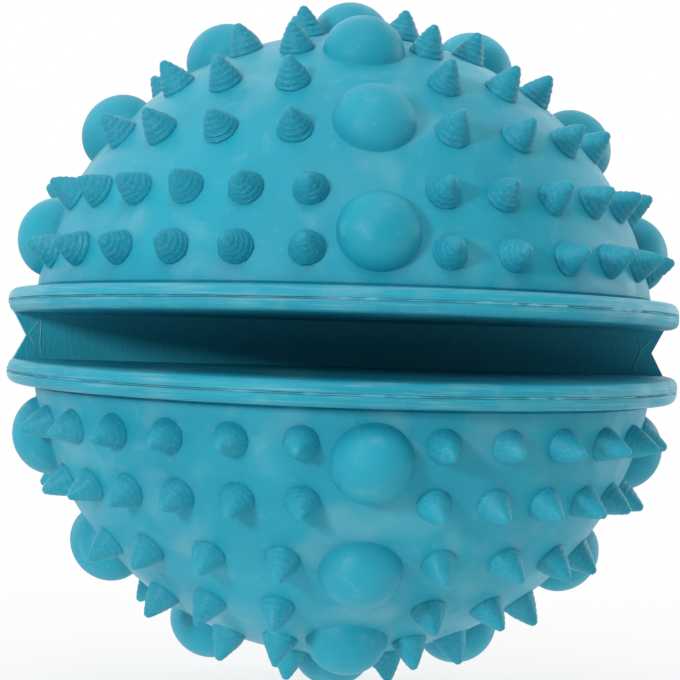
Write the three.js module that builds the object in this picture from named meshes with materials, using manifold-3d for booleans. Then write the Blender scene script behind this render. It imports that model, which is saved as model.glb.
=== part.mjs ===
// Rubber treat ball with one wide mouth across its front.
// Two spiked dome shells are bonded to flat jaws, and a web behind the mouth joins the jaws like a hinge.
// Millimetres, +Z up. The mouth faces -Y, and the origin is the ball's centre.
import * as THREE from 'three';
import { mergeVertices } from 'three/addons/utils/BufferGeometryUtils.js';
import Module from 'manifold-3d';

const wasm = await Module();
wasm.setup();

// Dome shells
const skinRadius = 37; // smooth skin between the nubs
const wall = 4; // thickness of the rubber
const flangeHeight = 1.3; // shell's share of the rim, from its foot to the skin
const flangeRound = 1; // rounding of the flange's outer edge
const latticeTurn = THREE.MathUtils.degToRad(-3); // shells are bonded this far round from the mouth

// Rim and jaws
const rimReach = 3; // how far the rim stands out from the skin
const lipHeight = 1.3; // jaw's share of the rim, from the mouth to the bond line
const lipRound = 1.3; // rounding of the lip's outer edge
const bondGap = 0.3; // cement line between a jaw and its shell
const spigotHeight = 2.4; // locating disc of a jaw, inside its shell
const spigotClearance = 0.3;

// Mouth and web
const mouthHalfGap = 2.7; // height of a jaw's face over the ball's centre
const gape = THREE.MathUtils.degToRad(1.6); // each half leans open at the front by this much
const wallLead = 0.3; // back wall of the mouth, in front of the ball's centre
const grooveDepth = 2.15; // folding groove round the web's edge
const seatDepth = 0.6; // recess in a jaw for the web
const seatClearance = 0.3;

// Spikes: base and height on the skin, and the blunt end
const spikeBaseRadius = 1.95;
const spikeHeight = 3.8;
const spikeTipRadius = 0.42;
const spikeTipHeight = 0.3;

// Domes: four columns, the first at the front, with one dome on the pole
const domeBaseRadius = 4.7;
const domeHeight = 3.9;
const domeLatitudes = [18.7, 41.8, 66];
const columns = 4;

// Spike rows from the rim to the pole, with the spikes that stand between two dome columns
const spikeRows = [
  { latitude: 15.3, between: 6 },
  { latitude: 26.4, between: 6 },
  { latitude: 39.2, between: 4 },
  { latitude: 52.4, between: 3 },
  { latitude: 66, between: 2 },
  { latitude: 77.5, between: 1 },
];

// Facets
const ringSegments = 40;
const arcSteps = 7;
const cavitySteps = 5;
const roundSteps = 2;
const spikeSides = 6;
const domeSides = 10;
const domeSteps = 3;
const rootDepth = 0.6; // how far a nub's root reaches into the skin

const rimRadius = skinRadius + rimReach;
const bondLevel = mouthHalfGap + lipHeight;
const shellFoot = bondLevel + bondGap;
const flangeTop = shellFoot + flangeHeight;
const cavityRadius = skinRadius - wall;
const spigotTop = bondLevel + spigotHeight;
const boreRadius = Math.sqrt(cavityRadius ** 2 - spigotTop ** 2); // straight bore for the spigot, under the cavity

const rubber = () => new THREE.MeshStandardMaterial({ color: 0x38a3be, roughness: 0.62, metalness: 0 });
const webRubber = () => new THREE.MeshStandardMaterial({ color: 0x2b92ad, roughness: 0.7, metalness: 0 });

// A closed geometry as a solid for joining and cutting
function solid(geometry) {
  const bare = geometry.index ? geometry.toNonIndexed() : geometry.clone();
  bare.deleteAttribute('normal');
  bare.deleteAttribute('uv');
  const merged = mergeVertices(bare, 1e-5);
  return new wasm.Manifold(new wasm.Mesh({
    numProp: 3,
    vertProperties: new Float32Array(merged.attributes.position.array),
    triVerts: new Uint32Array(merged.index.array),
  }));
}

function meshOf(name, body, material) {
  const { vertProperties, triVerts } = body.getMesh();
  const geometry = new THREE.BufferGeometry();
  geometry.setAttribute('position', new THREE.BufferAttribute(new Float32Array(vertProperties), 3));
  geometry.setIndex(new THREE.BufferAttribute(new Uint32Array(triVerts), 1));
  geometry.computeVertexNormals();
  const mesh = new THREE.Mesh(geometry, material);
  mesh.name = name;
  return mesh;
}

// A profile of (radius, height) points turned about Z
function turned(points, sides) {
  return new THREE.LatheGeometry(points, sides).rotateX(Math.PI / 2);
}

// Points along an arc about (x, y), angles from the radius axis towards the height axis
function arc(x, y, radiusX, radiusY, from, to, steps) {
  return new THREE.EllipseCurve(x, y, radiusX, radiusY, from, to).getPoints(steps);
}

const point = (radius, height) => new THREE.Vector2(radius, height);

// Dome shell, rim down, before the nubs: a flange with a rounded edge under a round skin
function plainShell() {
  const skinStart = Math.asin(flangeTop / skinRadius);
  const skin = arc(0, 0, skinRadius, skinRadius, skinStart, Math.PI / 2, arcSteps);
  const edge = arc(rimRadius - flangeRound, shellFoot, flangeRound, flangeHeight, 0, Math.PI / 2, roundSteps);
  const outside = turned([point(0, shellFoot), ...edge, ...skin.slice(0, -1), point(0, skinRadius)], ringSegments);

  const cavityStart = Math.asin(spigotTop / cavityRadius);
  const inside = arc(0, 0, cavityRadius, cavityRadius, cavityStart, Math.PI / 2, cavitySteps);
  const cavity = turned([
    point(0, bondLevel),
    point(boreRadius, bondLevel),
    ...inside.slice(0, -1),
    point(0, cavityRadius),
  ], ringSegments);
  return solid(outside).subtract(solid(cavity));
}

// A blunt cone with its root under the skin
function spike() {
  const taper = (spikeBaseRadius - spikeTipRadius) / (spikeHeight - spikeTipHeight);
  return turned([
    point(0, -rootDepth),
    point(spikeBaseRadius + taper * rootDepth, -rootDepth),
    point(spikeTipRadius, spikeHeight - spikeTipHeight),
    point(0, spikeHeight),
  ], spikeSides);
}

// A round cap with its root under the skin
function dome() {
  const cap = arc(0, 0, domeBaseRadius, domeHeight, 0, Math.PI / 2, domeSteps);
  return turned([
    point(0, -rootDepth),
    point(domeBaseRadius, -rootDepth),
    ...cap.slice(0, -1),
    point(0, domeHeight),
  ], domeSides);
}

// Place on the skin, with Z straight out; longitude runs from the front column towards +X
function onSkin(latitude, longitude) {
  const up = THREE.MathUtils.degToRad(latitude);
  const round = THREE.MathUtils.degToRad(longitude);
  const out = new THREE.Vector3(Math.cos(up) * Math.sin(round), -Math.cos(up) * Math.cos(round), Math.sin(up));
  const turn = new THREE.Quaternion().setFromUnitVectors(new THREE.Vector3(0, 0, 1), out);
  return new THREE.Matrix4().compose(out.clone().multiplyScalar(skinRadius), turn, new THREE.Vector3(1, 1, 1));
}

function nubs() {
  const quarter = 360 / columns;
  const placed = [dome().applyMatrix4(onSkin(90, 0))];
  for (let column = 0; column < columns; column += 1) {
    for (const latitude of domeLatitudes) {
      placed.push(dome().applyMatrix4(onSkin(latitude, column * quarter)));
    }
    for (const { latitude, between } of spikeRows) {
      for (let place = 1; place <= between; place += 1) {
        const longitude = (column + place / (between + 1)) * quarter;
        placed.push(spike().applyMatrix4(onSkin(latitude, longitude)));
      }
    }
  }
  return placed;
}

function shell() {
  return nubs().reduce((body, nub) => body.add(solid(nub)), plainShell());
}

// Flat jaw: mouth face below, rounded lip, a spigot that locates in the shell, and a seat for the web behind
function jaw() {
  const spigotRadius = boreRadius - spigotClearance;
  const lip = arc(rimRadius - lipRound, bondLevel, lipRound, lipHeight, -Math.PI / 2, 0, roundSteps);
  const plate = turned([
    point(0, mouthHalfGap),
    ...lip,
    point(spigotRadius, bondLevel),
    point(spigotRadius, spigotTop),
    point(0, spigotTop),
  ], ringSegments);

  const seatFront = -wallLead - seatClearance;
  const seat = new THREE.BoxGeometry(2 * rimRadius + 2, rimRadius + 1 - seatFront, 2 * seatDepth);
  seat.translate(0, (rimRadius + 1 + seatFront) / 2, mouthHalfGap);
  return solid(plate).subtract(solid(seat));
}

// D-shaped web between the jaws: its faces lie in their seats, and a folding groove runs round its edge
function web() {
  const faceAt = (y) => (mouthHalfGap + seatDepth) / Math.cos(gape) - y * Math.tan(gape) - seatClearance;
  const section = new THREE.Shape([
    point(-wallLead, -faceAt(-wallLead)),
    point(rimRadius, -faceAt(rimRadius)),
    point(rimRadius, faceAt(rimRadius)),
    point(-wallLead, faceAt(-wallLead)),
  ]);
  const wedge = new THREE.ExtrudeGeometry(section, { depth: 2 * rimRadius, bevelEnabled: false });
  wedge.translate(0, 0, -rimRadius);
  // The section's axes are Y and Z of the ball, and its length runs along X
  wedge.applyMatrix4(new THREE.Matrix4().makeBasis(
    new THREE.Vector3(0, 1, 0),
    new THREE.Vector3(0, 0, 1),
    new THREE.Vector3(1, 0, 0),
  ));
  const groovedDisc = turned([
    point(0, -bondLevel),
    point(rimRadius, -bondLevel),
    point(rimRadius - grooveDepth, 0),
    point(rimRadius, bondLevel),
    point(0, bondLevel),
  ], ringSegments);
  return solid(wedge).intersect(solid(groovedDisc));
}

// One half of the ball; the lower half is the same half turned over, so its shell turns the other way
function half(prefix, lean, turnOver, shellTurn) {
  const group = new THREE.Group();
  group.rotation.set(lean, turnOver, 0);
  const dressedShell = meshOf(`${prefix}_shell`, shell(), rubber());
  dressedShell.rotation.z = shellTurn;
  group.add(dressedShell, meshOf(`${prefix}_jaw`, jaw(), rubber()));
  return group;
}

const ball = new THREE.Group();
ball.add(half('upper', -gape, 0, latticeTurn));
ball.add(half('lower', gape, Math.PI, -latticeTurn));
ball.add(meshOf('hinge_web', web(), webRubber()));

export default ball;
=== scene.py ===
import bpy
import numpy as np
from mathutils import Matrix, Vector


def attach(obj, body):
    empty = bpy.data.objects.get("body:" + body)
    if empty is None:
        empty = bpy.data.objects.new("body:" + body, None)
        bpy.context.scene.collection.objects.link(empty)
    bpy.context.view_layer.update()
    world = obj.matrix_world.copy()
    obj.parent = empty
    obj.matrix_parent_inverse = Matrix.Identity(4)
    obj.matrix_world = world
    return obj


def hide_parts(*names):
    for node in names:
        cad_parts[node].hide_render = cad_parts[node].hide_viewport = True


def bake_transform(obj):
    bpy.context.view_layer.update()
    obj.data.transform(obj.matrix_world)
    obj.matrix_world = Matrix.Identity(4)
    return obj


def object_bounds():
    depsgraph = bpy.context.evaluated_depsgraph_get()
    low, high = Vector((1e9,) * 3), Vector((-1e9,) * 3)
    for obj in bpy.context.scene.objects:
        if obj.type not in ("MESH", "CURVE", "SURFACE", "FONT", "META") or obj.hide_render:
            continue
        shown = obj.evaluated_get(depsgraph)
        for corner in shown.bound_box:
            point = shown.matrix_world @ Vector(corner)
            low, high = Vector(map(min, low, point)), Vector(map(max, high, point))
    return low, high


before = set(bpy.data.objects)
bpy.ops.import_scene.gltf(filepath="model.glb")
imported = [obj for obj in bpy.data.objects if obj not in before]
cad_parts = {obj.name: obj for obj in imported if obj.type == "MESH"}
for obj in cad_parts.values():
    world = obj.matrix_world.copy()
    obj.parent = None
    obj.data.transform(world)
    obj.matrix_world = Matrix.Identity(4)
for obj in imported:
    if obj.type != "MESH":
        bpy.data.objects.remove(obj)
cad_box = [list(corner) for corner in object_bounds()]

# Dome shells: two hollow caps of moulded rubber, about 4 mm thick, each with a flange at its rim.
# Spikes and round domes are moulded in one with the skin, and the flange is cemented to a jaw.
# The halves lean apart at the front, and the shells stand a few degrees round from the mouth.
GAPE = np.radians(1.6)
SHELL_TURN = np.radians(-3.0)
SKIN = 0.037
RIM = 0.0399
FLANGE_FOOT = 0.0043
FLANGE_TOP = 0.0056
FLANGE_ROUND = 0.001
BORE = 0.03237
CAVITY = 0.033
BORE_TOP = 0.0064
HAIR = 0.00001  # a hundredth of a millimetre
SHELL_TONES = ((0.009, 0.315, 0.435, 1), (0.015, 0.36, 0.485, 1), (0.26, 0.52, 0.6, 1))
ROUND_LINES = (0.03, 0.03, 1)  # tool lines that run round the rim


def in_ball(points, side):
    """A half stands rim down on the ball's centre. It leans back about X by the gape, and the lower
    half (side -1) is the upper one turned over about Y, so that x and z change sign."""
    x, y, z = np.moveaxis(points, -1, 0)
    c, s = np.cos(GAPE), np.sin(GAPE)
    return np.stack([side * x, y * c + z * s, side * (z * c - y * s)], axis=-1)


def turned(profile, angles):
    """A profile of (radius, height) rows carried round Z: each point is (r cos t, r sin t, z).
    The profile may change with the angle. Its first and last rows lie on the axis and become
    single points."""
    profile = profile if profile.ndim == 3 else np.repeat(profile[:, None, :], len(angles), axis=1)
    rings = profile[1:-1]
    radius, height = rings[..., 0], rings[..., 1]
    grid = np.stack([radius * np.cos(angles), radius * np.sin(angles), height], axis=-1)
    ends = np.array([[[0, 0, profile[0, 0, 1]]], [[0, 0, profile[-1, 0, 1]]]])
    points = np.concatenate([ends[0], grid.reshape(-1, 3), ends[1]])
    here = np.arange(rings.shape[0] * len(angles)).reshape(rings.shape[:2]) + 1
    beside = np.roll(here, -1, axis=1)
    quads = np.stack([here[:-1], beside[:-1], beside[1:], here[1:]], axis=-1).reshape(-1, 4)
    start = np.stack([np.zeros_like(here[0]), beside[0], here[0]], axis=-1)
    finish = np.stack([here[-1], beside[-1], np.full_like(here[0], len(points) - 1)], axis=-1)
    return points, [quads, start, finish]


def joined(bodies):
    """Bodies of (points, faces) put together. Each body's face numbers move on by the number of
    points before it."""
    offsets = np.cumsum([0] + [len(points) for points, _ in bodies])
    points = np.concatenate([points for points, _ in bodies])
    faces = [group + offset for (_, groups), offset in zip(bodies, offsets) for group in groups]
    return points, faces


def moulding(name, body, rubbers, crease, drawn=0, grainy=0, finish=0):
    """A mesh object of a body, smooth except along edges sharper than the crease angle. Drawn is 1
    where the mould's tool left fine lines, and grainy is 1 where the rubber is rough; each is given
    for every point, or for all. Finish numbers a face's rubber in the list of rubbers, likewise."""
    points, faces = body
    mesh = bpy.data.meshes.new(name)
    mesh.from_pydata(points.tolist(), [], [face for group in faces for face in group.tolist()])
    mesh.shade_smooth()
    mesh.set_sharp_from_angle(angle=np.radians(crease))
    for rubber in rubbers:
        mesh.materials.append(rubber)
    numbers = np.broadcast_to(finish, len(mesh.polygons)).astype(np.int32)
    mesh.polygons.foreach_set("material_index", numbers)
    for mark, values in (("drawn", drawn), ("grainy", grainy)):
        mask = mesh.attributes.new(mark, "FLOAT", "POINT")
        mask.data.foreach_set("value", np.broadcast_to(values, len(points)).astype(np.float32))
    obj = bpy.data.objects.new(name, mesh)
    bpy.context.scene.collection.objects.link(obj)
    return obj


def moulded_rubber(name, deep, fresh, bloom, sheen, grain, lines):
    """Matte moulded rubber: two teals in slow patches, soft pale smear patches, partly bloom and partly
    painted reflection of light, dust, and a bump of fine grain over soft unevenness. Sheen is the weight
    of its dusty sheen, and grain the bump's height in metres. Tool lines are a noise squeezed by the
    factors of lines along each axis, and show where the mesh is marked as drawn. Parts marked as grainy
    are deeper, speckled and rough."""
    material = bpy.data.materials.new(name)
    material.use_nodes = True
    nodes, links = material.node_tree.nodes, material.node_tree.links
    shader = nodes["Principled BSDF"]
    shader.inputs["Specular IOR Level"].default_value = 0.3
    shader.inputs["Sheen Weight"].default_value = sheen
    shader.inputs["Sheen Roughness"].default_value = 0.24
    shader.inputs["Sheen Tint"].default_value = (0.85, 0.92, 0.95, 1)
    coords = nodes.new("ShaderNodeTexCoord")

    def noise(scale, detail, distortion=0.0, squeeze=(1, 1, 1)):
        """Noise on the piece's own coordinates, each axis multiplied by its squeeze."""
        place = nodes.new("ShaderNodeVectorMath")
        place.operation = "MULTIPLY"
        place.inputs[1].default_value = squeeze
        links.new(coords.outputs["Object"], place.inputs[0])
        node = nodes.new("ShaderNodeTexNoise")
        node.inputs["Scale"].default_value = scale
        node.inputs["Detail"].default_value = detail
        node.inputs["Distortion"].default_value = distortion
        links.new(place.outputs["Vector"], node.inputs["Vector"])
        return node.outputs["Fac"]

    def spread(value, low, high, to_low, to_high):
        """The stretch of a value from low to high, carried to the stretch from to_low to to_high."""
        node = nodes.new("ShaderNodeMapRange")
        node.inputs["From Min"].default_value = low
        node.inputs["From Max"].default_value = high
        node.inputs["To Min"].default_value = to_low
        node.inputs["To Max"].default_value = to_high
        links.new(value, node.inputs["Value"])
        return node.outputs["Result"]

    def blend(factor, first, second):
        """The first colour mixed with the second by a factor; the first may come from another blend."""
        node = nodes.new("ShaderNodeMix")
        node.data_type = "RGBA"
        links.new(factor, node.inputs["Factor"])
        if isinstance(first, tuple):
            node.inputs["A"].default_value = first
        else:
            links.new(first, node.inputs["A"])
        node.inputs["B"].default_value = second
        return node.outputs["Result"]

    def mark(mask):
        """What the mesh says at each point under the mask's name."""
        node = nodes.new("ShaderNodeAttribute")
        node.attribute_name = mask
        return node.outputs["Fac"]

    def product(first, second):
        """Two values multiplied."""
        node = nodes.new("ShaderNodeMath")
        node.operation = "MULTIPLY"
        links.new(first, node.inputs[0])
        links.new(second, node.inputs[1])
        return node.outputs["Value"]

    tool = product(mark("drawn"), noise(3600, 3, 0.3, lines))
    # Pale smear patches, fewer on spikes and domes: partly mould bloom, partly painted reflection of light
    # on smoother spots.
    bloom_and_reflection_smears = product(
        spread(mark("grainy"), 0, 0.3, 1, 0.15), spread(noise(110, 2, 0.4), 0.53, 0.78, 0, 0.38))
    specks = product(
        spread(mark("grainy"), 0.3, 0.5, 0, 1), spread(noise(3000, 2), 0.5, 0.68, 0, 0.13))

    patches = blend(spread(noise(70, 3), 0.35, 0.65, 0, 1), deep, fresh)
    # The pale smear patches laid over the teals: bloom and painted reflection together.
    bloom_and_reflection_smeared = blend(bloom_and_reflection_smears, patches, bloom)
    bloomed = blend(spread(noise(420, 4, 0.5), 0.58, 0.8, 0, 0.2), bloom_and_reflection_smeared, bloom)
    dusted = blend(spread(noise(2600, 1), 0.73, 0.79, 0, 0.25), bloomed, bloom)
    rubbed = blend(spread(tool, 0.5, 0.72, 0, 0.42), dusted, bloom)
    # Where the mesh is grainy, mostly on the spikes, a deeper, more saturated teal is mixed in.
    deeper_tone = (0.3 * deep[0], 0.75 * deep[1], 0.8 * deep[2], 1)
    deepened = blend(spread(mark("grainy"), 0.4, 1, 0, 0.35), rubbed, deeper_tone)
    links.new(blend(specks, deepened, bloom), shader.inputs["Base Color"])
    links.new(spread(noise(130, 4, 0.8), 0.3, 0.7, 0.4, 0.62), shader.inputs["Roughness"])

    uneven = nodes.new("ShaderNodeBump")
    uneven.inputs["Strength"].default_value = 0.35
    uneven.inputs["Distance"].default_value = 1.2 * grain
    links.new(noise(260, 3), uneven.inputs["Height"])
    fine = nodes.new("ShaderNodeBump")
    fine.inputs["Distance"].default_value = grain
    links.new(spread(mark("grainy"), 0, 1, 0.12, 1), fine.inputs["Strength"])
    links.new(noise(3200, 3), fine.inputs["Height"])
    links.new(uneven.outputs["Normal"], fine.inputs["Normal"])
    scored = nodes.new("ShaderNodeBump")
    scored.inputs["Strength"].default_value = 0.6
    scored.inputs["Distance"].default_value = 0.0001
    links.new(tool, scored.inputs["Height"])
    links.new(fine.outputs["Normal"], scored.inputs["Normal"])
    links.new(scored.outputs["Normal"], shader.inputs["Normal"])
    return material


def arc(centre, radii, first, last, count):
    """Points of an ellipse's arc, (cx + rx cos t, cz + rz sin t), with t from first to last in degrees."""
    t = np.radians(np.linspace(first, last, count))
    return np.stack([centre[0] + radii[0] * np.cos(t), centre[1] + radii[1] * np.sin(t)], axis=-1)


shell_rubber = moulded_rubber(
    "shell_rubber", *SHELL_TONES, sheen=0.46, grain=0.0001, lines=ROUND_LINES)
# Undercut over the flange: along its top, in under the skin, and out to the skin's foot
undercut = [
    [0.0376, FLANGE_TOP],
    [0.0362, FLANGE_TOP - HAIR],
    [0.03618, FLANGE_TOP + 0.00019],
    [0.03648, 0.00603],
]
shell_profile = np.concatenate([
    [[0, CAVITY]],
    arc((0, 0), (CAVITY, CAVITY), 86, np.degrees(np.arcsin(BORE_TOP / CAVITY)), 14),
    [[BORE, FLANGE_FOOT]],
    arc((RIM - FLANGE_ROUND, FLANGE_FOOT), (FLANGE_ROUND, FLANGE_TOP - FLANGE_FOOT), 0, 90, 8),
    undercut,
    arc((0, 0), (SKIN, SKIN), 9.5, 88.6, 60),
    [[0, SKIN]],
])
round_angles = np.radians(np.arange(0, 360, 1.875))
skin_body = turned(shell_profile, round_angles)

# Spikes: blunt, slightly bulging cones of rougher rubber, moulded in one with the skin.
# Their mould was turned in steps, which wear has softened to five uneven rings.
SPIKE_ROOT = 0.00208
SPIKE_FOOT = 0.00206
SPIKE_TAPER = 0.00152
SPIKE_RINGED = 0.0034  # height of the part with rings
SPIKE_TIP = [0.00038, 0.00367]  # radius and height of the blunt end's edge
SPIKE_HEIGHT = 0.0038
SPIKE_LEAN = 0.04
WORN_HEIGHT = (0.9, 0.995)  # share of its height that a worn spike keeps
NUB_ROOT = 0.0005  # depth of a nub's root under the skin

nub_rubber = moulded_rubber(
    "nub_rubber", *SHELL_TONES, sheen=0.0, grain=0.0001, lines=ROUND_LINES)


def spike(ledge):
    """Profile of a spike: the cone's radius falls with height to the power 1.3, and a ledge of the
    given width stands out at each third row."""
    up = np.linspace(0, 1, 16)
    cone = SPIKE_FOOT - SPIKE_TAPER * up ** 1.3 + ledge * np.tile([0, 1, 0.55], 6)[:16]
    profile = np.concatenate([
        [[0, -NUB_ROOT], [SPIKE_ROOT, -NUB_ROOT]],
        np.stack([cone, SPIKE_RINGED * up], axis=-1),
        [SPIKE_TIP, [0, SPIKE_HEIGHT]],
    ])
    return turned(profile, np.radians(np.arange(0, 360, 360 / 14)))


def on_skin(body, latitude, longitude, height, lean, rough):
    """Copies of one nub on the skin. Each copy's Z axis points out at its latitude and longitude, its
    heights follow the round skin under it, and it is stretched by height and leans sideways by lean
    per unit of height. Rough is a share by which each point of each copy moves out from the nub's
    axis, as wear."""
    points, faces = body
    lat, lon = np.radians(latitude)[:, None], np.radians(longitude)[:, None]
    out = np.concatenate([np.cos(lat) * np.sin(lon), -np.cos(lat) * np.cos(lon), np.sin(lat)], axis=1)
    east = np.concatenate([np.cos(lon), np.sin(lon), np.zeros_like(lon)], axis=1)
    north = np.cross(out, east)
    drop = np.sqrt(SKIN ** 2 - points[:, 0] ** 2 - points[:, 1] ** 2)
    rise = points[:, 2] * height[:, None]
    across = points[:, 0] * (1 + rough) + lean[:, :1] * np.maximum(rise, 0)
    along = points[:, 1] * (1 + rough) + lean[:, 1:] * np.maximum(rise, 0)
    sideways = across[..., None] * east[:, None] + along[..., None] * north[:, None]
    placed_points = sideways + (drop + rise)[..., None] * out[:, None]
    step = (np.arange(len(latitude)) * len(points))[:, None, None]
    return placed_points.reshape(-1, 3), [(group + step).reshape(-1, group.shape[1]) for group in faces]


row_latitudes = np.array([15.3, 26.4, 39.2, 52.4, 66.0, 77.5])
row_between = np.array([6, 6, 4, 3, 2, 1])
spike_latitudes = np.repeat(np.tile(row_latitudes, 4), np.tile(row_between, 4))
spike_longitudes = np.concatenate([
    90 * (column + np.arange(1, between + 1) / (between + 1))
    for column in range(4) for between in row_between])

# Domes: near half rounds of smooth rubber, moulded in one with the skin.
# Three stand in each of four columns, the first at the front, and one stands on the crown.
DOME_ROOT = 0.00488
DOME_CREASE = [0.00478, 0.00003]  # radius and height of the sharp line where it leaves the skin
DOME_RADIUS = 0.00475
DOME_HEIGHT = 0.0039
DOME_GRAIN = 0.3
dome_profile = np.concatenate([
    [[0, -NUB_ROOT], [DOME_ROOT, -NUB_ROOT], [DOME_ROOT, 0], DOME_CREASE],
    arc((0, 0), (DOME_RADIUS, DOME_HEIGHT), 3, 86, 17),
    [[0, DOME_HEIGHT]],
])
dome_body = turned(dome_profile, np.radians(np.arange(0, 360, 9)))
dome_latitudes = np.append(np.tile([18.7, 41.8, 66.0], 4), 90.0)
dome_longitudes = np.append(np.repeat([0.0, 90.0, 180.0, 270.0], 3), 0.0)
dome_count = len(dome_latitudes)

# Each half's shell is its skin, spikes and domes as one moulding, turned round from the mouth.
# The lower half's spikes are less stepped, less torn and less rough than the upper half's.
for half, side, ledge, tear, rough in (
        ("upper", 1, 0.00009, 0.02, 1),
        ("lower", -1, 0.00004, 0.012, 0.5)):
    wear = np.random.default_rng(11 + side)
    count = len(spike_latitudes)
    spike_body = spike(ledge)
    above_skin = spike_body[0][:, 2] > 10 * HAIR
    ragged = wear.normal(0, tear, (count, len(spike_body[0]))) * above_skin
    spikes = on_skin(spike_body, spike_latitudes, spike_longitudes,
                     wear.uniform(*WORN_HEIGHT, count), wear.normal(0, SPIKE_LEAN, (count, 2)), ragged)
    domes = on_skin(dome_body, dome_latitudes, dome_longitudes,
                    np.ones(dome_count), np.zeros((dome_count, 2)), 0.0)
    points, faces = joined([skin_body, spikes, domes])
    turn = SHELL_TURN * side
    x = points[:, 0] * np.cos(turn) - points[:, 1] * np.sin(turn)
    y = points[:, 0] * np.sin(turn) + points[:, 1] * np.cos(turn)
    in_place = in_ball(np.stack([x, y, points[:, 2]], axis=-1), side)
    at_flange = points[:, 2] < FLANGE_TOP + HAIR
    on_nubs = np.repeat([0, rough, DOME_GRAIN], [len(skin_body[0]), len(spikes[0]), len(domes[0])])
    face_counts = [sum(len(group) for group in body[1]) for body in (skin_body, spikes, domes)]
    shell = moulding(f"{half}_shell_moulding", (in_place, faces), [shell_rubber, nub_rubber], 50,
                     at_flange, on_nubs, np.repeat([0, 1, 1], face_counts))
    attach(shell, f"{half}_half")
    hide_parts(f"{half}_shell")

# Jaws: flat rubber discs that are the mouth's roof and floor, cemented into the shells on a spigot.
# The lip is rounded where the mouth opens, and slopes into the folding groove behind it.
MOUTH_FACE = 0.0027
BOND = 0.0040
SPIGOT = 0.03207
GROOVE = 0.00215
GROOVE_START = -0.0011  # depth at which the lip starts to give way to the groove's flank
GROOVE_RUN = 0.0010
LIP_ROUND = 0.0008
LINED_FROM = 0.0381  # radius from which the rim shows tool lines

jaw_rubber = moulded_rubber(
    "jaw_rubber", (0.009, 0.3, 0.415, 1), (0.014, 0.34, 0.46, 1), (0.24, 0.5, 0.58, 1),
    sheen=0.0, grain=0.00012, lines=ROUND_LINES)
# Angles from the front, closer together at the mouth's ends, where the lip turns into the flank
jaw_angles = np.radians(np.concatenate([
    np.linspace(-88, 88, 121), np.linspace(88.6, 91.6, 6), np.linspace(92.5, 267.5, 100),
    np.linspace(268.4, 271.4, 6)])) - np.pi / 2
lip_arc = arc((RIM - LIP_ROUND, MOUTH_FACE + LIP_ROUND), (LIP_ROUND, LIP_ROUND), 270, 360, 9)
lip = np.append(lip_arc, [[RIM, BOND]], axis=0)
flank_heights = np.linspace(MOUTH_FACE, BOND, 10)
flank = np.stack([RIM - GROOVE * (1 - flank_heights / BOND), flank_heights], axis=-1)
behind = np.clip((RIM * np.sin(jaw_angles) - GROOVE_START) / GROOVE_RUN, 0, 1)
behind = (behind * behind * (3 - 2 * behind))[None, :, None]
edge = lip[:, None] * (1 - behind) + flank[:, None] * behind
flat_radii = np.array([0, 0.012, 0.024, 0.034, 0.038])
flat = np.stack([flat_radii, np.full_like(flat_radii, MOUTH_FACE)], axis=-1)
back = np.array([[SPIGOT, BOND], [SPIGOT, BORE_TOP], [0, BORE_TOP]])
wide = (1, len(jaw_angles), 1)
jaw_profile = np.concatenate([np.tile(flat[:, None], wide), edge, np.tile(back[:, None], wide)])
for half, side in (("upper", 1), ("lower", -1)):
    points, faces = turned(jaw_profile, jaw_angles)
    at_rim = np.hypot(points[:, 0], points[:, 1]) > LINED_FROM
    jaw = moulding(f"{half}_jaw_moulding", (in_ball(points, side), faces), [jaw_rubber], 50, at_rim)
    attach(jaw, f"{half}_half")
    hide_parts(f"{half}_jaw")

# Hinge web: a D-shaped rubber block behind the mouth, cemented to both jaws.
# Its flat front is the mouth's back wall, and a V groove round its curved edge lets it fold.
WALL = -0.0003
CEMENT = 0.00004
WEB_EDGE = 0.0385
ARC_POINTS = 121


def half_height(y):
    """Height of the jaw's face over the ball's centre at depth y, as the jaws lean apart towards
    the front."""
    return (MOUTH_FACE + CEMENT) / np.cos(GAPE) - y * np.tan(GAPE)


def web_point(share, angle):
    """Edge of the web at a share (-1 to 1) of its height: the radius is the rim less the groove's
    depth, which is greatest half-way up and runs out to nothing at the bond lines."""
    height = share * half_height(WEB_EDGE * np.sin(angle))
    radius = RIM - GROOVE * (1 - np.abs(height) / BOND)
    return radius * np.cos(angle), radius * np.sin(angle), height


# Rows from the lower bond line to the upper, with a narrow one on each side of the groove's bottom
web_shares = np.concatenate([np.linspace(-1, -0.06, 13), [0], np.linspace(0.06, 1, 13)])[:, None]
arc_share = np.linspace(0, 1, ARC_POINTS)[None, :]
edge_radius = RIM - GROOVE * (1 - np.abs(web_shares * half_height(0.0)) / BOND)
corner = np.arcsin(WALL / edge_radius)
edge_x, edge_y, _ = web_point(web_shares, corner + (np.pi - 2 * corner) * arc_share)
wall_x = edge_x[:, -1:] + (edge_x[:, :1] - edge_x[:, -1:]) * arc_share[:, 1:-1]
loop_x = np.concatenate([edge_x, wall_x], axis=1)
loop_y = np.concatenate([edge_y, np.full_like(wall_x, WALL)], axis=1)
loop_z = web_shares * half_height(loop_y)
web_grid = np.stack([loop_x, loop_y, loop_z], axis=-1)
loop = np.arange(loop_x.size).reshape(loop_x.shape)
following = np.roll(loop, -1, axis=1)
web_sides = np.stack([loop[:-1], following[:-1], following[1:], loop[1:]], axis=-1).reshape(-1, 4)
last = ARC_POINTS - 1
over_arc = loop[:, :ARC_POINTS]
over_wall = np.concatenate([loop[:, :1], loop[:, :last:-1], loop[:, last:ARC_POINTS]], axis=1)
top = np.stack([over_arc[-1, :-1], over_arc[-1, 1:], over_wall[-1, 1:], over_wall[-1, :-1]], axis=-1)
bottom = np.stack([over_arc[0, 1:], over_arc[0, :-1], over_wall[0, :-1], over_wall[0, 1:]], axis=-1)
caps = np.concatenate([top[1:-1], bottom[1:-1]])
cap_ends = np.array([
    top[0][[0, 1, 2]], top[-1][[0, 1, 3]], bottom[0][[0, 1, 3]], bottom[-1][[0, 1, 2]]])

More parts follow.
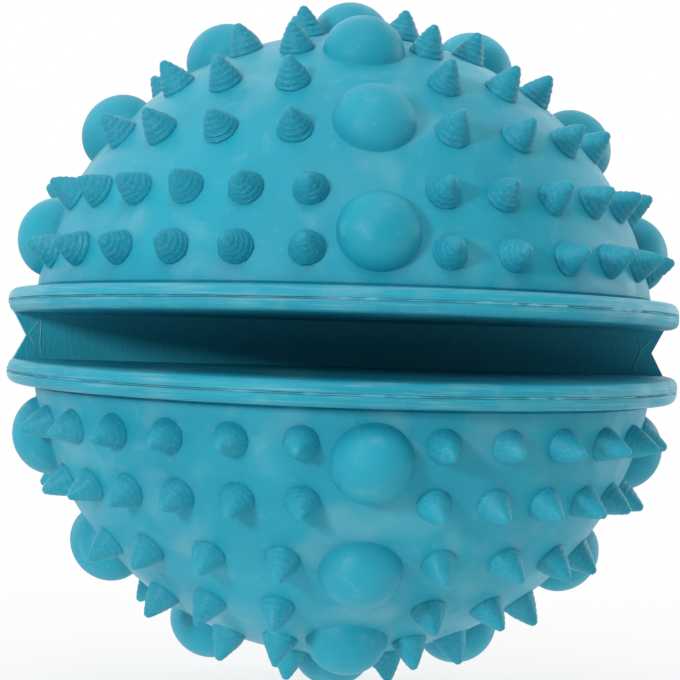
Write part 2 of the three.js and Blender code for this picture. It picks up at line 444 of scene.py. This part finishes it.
web_rubber = moulded_rubber(
    "web_rubber", (0.012, 0.32, 0.43, 1), (0.018, 0.36, 0.48, 1), (0.07, 0.4, 0.5, 1),
    sheen=0.0, grain=0.00013, lines=(1, 1, 0.16))
web_body = (web_grid.reshape(-1, 3), [web_sides, caps, cap_ends])
web = moulding("hinge_web_moulding", web_body, [web_rubber], 35, drawn=1, grainy=0.3)
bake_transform(web)
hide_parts("hinge_web")

# Wall flash: where the web's mould parted, thin ridges of rubber cross the ends of the mouth's back wall.
# They are as fine as a thread.
RIDGE = 0.00009


def ridge(stations):
    """A round bead of the ridge's radius carried along a bent line on the wall. Stations are (x, z)
    corners in metres; the line runs straight between them in equal steps, the bead's ring lies
    across it, and the bead thins out near both ends."""
    corners = np.array(stations)
    along = np.linspace(0, len(corners) - 1, 24)
    numbers = np.arange(len(corners))
    line = np.stack([np.interp(along, numbers, corners[:, axis]) for axis in (0, 1)], axis=-1)
    course = np.gradient(line, axis=0)
    course /= np.linalg.norm(course, axis=1, keepdims=True)
    t = np.linspace(0, 2 * np.pi, 6, endpoint=False)
    thick = RIDGE * np.minimum(1, np.minimum(along, along[-1] - along) * 4 + 0.15)[:, None]
    x = line[:, :1] - course[:, 1:] * thick * np.cos(t)
    z = line[:, 1:] + course[:, :1] * thick * np.cos(t)
    y = WALL + thick * np.sin(t)
    here = np.arange(x.size).reshape(x.shape)
    beside = np.roll(here, -1, axis=1)
    sides = np.stack([here[:-1], here[1:], beside[1:], beside[:-1]], axis=-1).reshape(-1, 4)
    return np.stack([x, y, z], axis=-1).reshape(-1, 3), [sides, here[:1], here[-1:, ::-1]]


ridges = joined([
    ridge([(-0.03605, -0.0024), (-0.03612, -0.0004), (-0.03604, 0.0024)]),
    ridge([(-0.03755, 0.0001), (-0.0368, 0.0011), (-0.0361, 0.0021)]),
    ridge([(-0.03745, 0.0002), (-0.0371, -0.0005), (-0.0366, -0.0012)]),
    ridge([(0.0378, 0.0018), (0.0364, 0.0003), (0.03555, -0.0019), (0.0362, -0.0026)]),
    ridge([(0.0361, 0.0022), (0.03618, 0.0012), (0.0364, 0.0003)]),
])
flash_rubber = moulded_rubber(
    "flash_rubber", (0.08, 0.42, 0.52, 1), (0.13, 0.48, 0.58, 1), (0.4, 0.64, 0.7, 1),
    sheen=0.1, grain=0.00004, lines=(1, 1, 1))
wall_flash = moulding("wall_flash", ridges, [flash_rubber], 60)
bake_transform(wall_flash)

# Seam flash: where shell and jaw are cemented, a little rubber squeezed out and was torn off.
# It leaves a low ragged fin in the seam, thicker in places.
FIN_EDGE = 0.0001
FIN_SET = 0.00008  # how far the fin's mean edge lies inside the rim
FIN_SWING = 0.00015
FIN_LEAST = -0.0002  # least and most reach, from the rim
FIN_MOST = 0.0001
FIN_DEPTH = 0.0022
seam_angles = np.radians(np.arange(0, 360, 0.5))


def seam_fin(seed):
    """Section of the fin round the seam: its reach past the rim is a sum of waves with whole turns,
    so it closes. A wave's height falls with the square root of its turns."""
    waves = np.random.default_rng(seed)
    turns = np.arange(2, 170, 3)[:, None]
    swing = np.sin(turns * seam_angles[None] + waves.uniform(0, 2 * np.pi, turns.shape))
    rough = (swing * waves.uniform(0.3, 1.0, turns.shape) / np.sqrt(turns)).sum(axis=0)
    reach = np.clip(RIM - FIN_SET + FIN_SWING * rough, RIM + FIN_LEAST, RIM + FIN_MOST)
    inner = np.full_like(reach, RIM - FIN_DEPTH)
    low = np.full_like(reach, BOND)
    high = np.full_like(reach, FLANGE_FOOT)
    return np.stack([
        np.stack([inner, low], -1),
        np.stack([reach - FIN_EDGE, low], -1),
        np.stack([reach, (low + high) / 2], -1),
        np.stack([reach - FIN_EDGE, high], -1),
        np.stack([inner, high], -1),
    ])


for half, side in (("upper", 1), ("lower", -1)):
    section = seam_fin(5 + side)
    radius, height = section[..., 0], section[..., 1]
    grid = np.stack([radius * np.cos(seam_angles), radius * np.sin(seam_angles), height], axis=-1)
    here = np.arange(grid.shape[0] * grid.shape[1]).reshape(grid.shape[:2])
    beside, above = np.roll(here, -1, axis=1), np.roll(here, -1, axis=0)
    hoop = np.stack([here, beside, np.roll(beside, -1, axis=0), above], axis=-1).reshape(-1, 4)
    fin = moulding(f"{half}_seam_flash", (in_ball(grid.reshape(-1, 3), side), [hoop]), [flash_rubber], 60)
    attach(fin, f"{half}_half")

# Floor: a plain pale sheet that the ball stands on. The camera sees it as white, with the ball's shadow
# kept near the ball. For all other light it glows under the ball, as a lit table does.
FLOOR_FRONT = -0.35
FLOOR_REACH = 3
floor_mesh = bpy.data.meshes.new("floor")
low = cad_box[0][2]
sheet = [(x, y, low) for y in (FLOOR_FRONT, FLOOR_REACH) for x in (-FLOOR_REACH, FLOOR_REACH)]
floor_mesh.from_pydata(sheet, [], [(0, 1, 3, 2)])
floor = bpy.data.objects.new("floor", floor_mesh)
bpy.context.scene.collection.objects.link(floor)


def fading(tree, value, near, far, near_share, far_share):
    """A share that goes smoothly from one number to another while the value goes from near to far."""
    node = tree.nodes.new("ShaderNodeMapRange")
    node.interpolation_type = "SMOOTHSTEP"
    node.inputs["From Min"].default_value = near
    node.inputs["From Max"].default_value = far
    node.inputs["To Min"].default_value = near_share
    node.inputs["To Max"].default_value = far_share
    tree.links.new(value, node.inputs["Value"])
    return node.outputs["Result"]


paper = bpy.data.materials.new("floor_paper")
paper.use_nodes = True
tree = paper.node_tree
matte = tree.nodes["Principled BSDF"]
matte.inputs["Base Color"].default_value = (0.72, 0.72, 0.72, 1)
matte.inputs["Roughness"].default_value = 0.9
glow = tree.nodes.new("ShaderNodeEmission")
coords = tree.nodes.new("ShaderNodeTexCoord")
away = tree.nodes.new("ShaderNodeVectorMath")
away.operation = "LENGTH"
tree.links.new(coords.outputs["Object"], away.inputs[0])
path = tree.nodes.new("ShaderNodeLightPath")
share = tree.nodes.new("ShaderNodeMix")
on_ball = fading(tree, away.outputs["Value"], near=0.05, far=0.1, near_share=0.9, far_share=0.0)
on_camera = fading(tree, away.outputs["Value"], near=0.05, far=0.24, near_share=0.8, far_share=0.98)
tree.links.new(path.outputs["Is Camera Ray"], share.inputs[0])
tree.links.new(on_ball, share.inputs[2])
tree.links.new(on_camera, share.inputs[3])
mix = tree.nodes.new("ShaderNodeMixShader")
tree.links.new(share.outputs[0], mix.inputs["Fac"])
tree.links.new(matte.outputs["BSDF"], mix.inputs[1])
tree.links.new(glow.outputs["Emission"], mix.inputs[2])
tree.links.new(mix.outputs["Shader"], tree.nodes["Material Output"].inputs["Surface"])
floor_mesh.materials.append(paper)

# Studio: a white backdrop that lights the ball from behind, and a dimmer ceiling over it.
# The camera sees plain white, and almost no light comes from the camera's side.
world = bpy.data.worlds.new("studio")
world.use_nodes = True
bpy.context.scene.world = world
tree = world.node_tree
ambient = tree.nodes["Background"]
ambient.inputs["Color"].default_value = (1, 1, 1, 1)
coords = tree.nodes.new("ShaderNodeTexCoord")
axes = tree.nodes.new("ShaderNodeSeparateXYZ")
tree.links.new(coords.outputs["Generated"], axes.inputs["Vector"])
both = tree.nodes.new("ShaderNodeMath")
both.operation = "MAXIMUM"
backdrop = fading(tree, axes.outputs["Y"], near=-0.25, far=0.4, near_share=0.03, far_share=1.4)
ceiling = fading(tree, axes.outputs["Z"], near=0.15, far=0.8, near_share=0.0, far_share=0.5)
tree.links.new(backdrop, both.inputs[0])
tree.links.new(ceiling, both.inputs[1])
tree.links.new(both.outputs["Value"], ambient.inputs["Strength"])
white = tree.nodes.new("ShaderNodeBackground")
white.inputs["Color"].default_value = (1, 1, 1, 1)
white.inputs["Strength"].default_value = 1.0
path = tree.nodes.new("ShaderNodeLightPath")
mix = tree.nodes.new("ShaderNodeMixShader")
tree.links.new(path.outputs["Is Camera Ray"], mix.inputs["Fac"])
tree.links.new(ambient.outputs["Background"], mix.inputs[1])
tree.links.new(white.outputs["Background"], mix.inputs[2])
tree.links.new(mix.outputs["Shader"], tree.nodes["World Output"].inputs["Surface"])

# Lamps and camera: a low key from the left front that shines into the mouth, a weak fill from the right,
# a soft lamp above, and one at the right that catches the limb. The camera looks straight at the mouth
# from a little to the left, and leans by under two degrees.


def direction(azimuth, elevation):
    """Unit vector from the ball, azimuth 0 towards -Y and 90 towards +X, elevation above the floor."""
    a, e = np.radians(azimuth), np.radians(elevation)
    return np.array([np.sin(a) * np.cos(e), -np.cos(a) * np.cos(e), np.sin(e)])


def facing(back, roll):
    """Axes of something that looks along -back: right, up and back, turned about back by the roll in
    degrees."""
    right = np.cross([0, 0, 1], back)
    right /= np.linalg.norm(right)
    up = np.cross(back, right)
    c, s = np.cos(np.radians(roll)), np.sin(np.radians(roll))
    return right * c + up * s, up * c - right * s, back


def placed(obj, azimuth, elevation, distance, roll=0.0):
    """Puts a lamp or the camera at a distance from the ball's centre in a direction, looking at it."""
    back = direction(azimuth, elevation)
    pose = np.eye(4)
    pose[:3, :3] = np.stack(facing(back, roll), axis=-1)
    pose[:3, 3] = back * distance
    obj.matrix_world = Matrix(pose.tolist())
    bpy.context.scene.collection.objects.link(obj)


# Each lamp's azimuth and elevation in degrees, distance and width in metres, and power in watts
for name, azimuth, elevation, distance, size, power in (
        ("key_light", -42, 13, 0.9, 0.13, 3.4),
        ("fill_light", 50, 12, 1.1, 0.6, 0.8),
        ("top_light", -14, 56, 0.9, 0.5, 2.5),
        ("side_light", 112, 9, 0.9, 0.3, 1.4)):
    lamp = bpy.data.lights.new(name, "AREA")
    lamp.size = size
    lamp.energy = power
    placed(bpy.data.objects.new(name, lamp), azimuth, elevation, distance)

IMAGE_SIDE = 680
SHIFT_ACROSS = -2.9  # shift of the view in pixels of the image
SHIFT_UP = 4.3
camera = bpy.data.cameras.new("camera")
camera.sensor_width = 36
camera.lens = 196.9
camera.shift_x = SHIFT_ACROSS / IMAGE_SIDE
camera.shift_y = SHIFT_UP / IMAGE_SIDE
camera.clip_start = 0.01
eye = bpy.data.objects.new("camera", camera)
placed(eye, azimuth=-9, elevation=0.37, distance=0.444, roll=1.7)
bpy.context.scene.camera = eye
bpy.context.scene.view_settings.view_transform = "Standard"
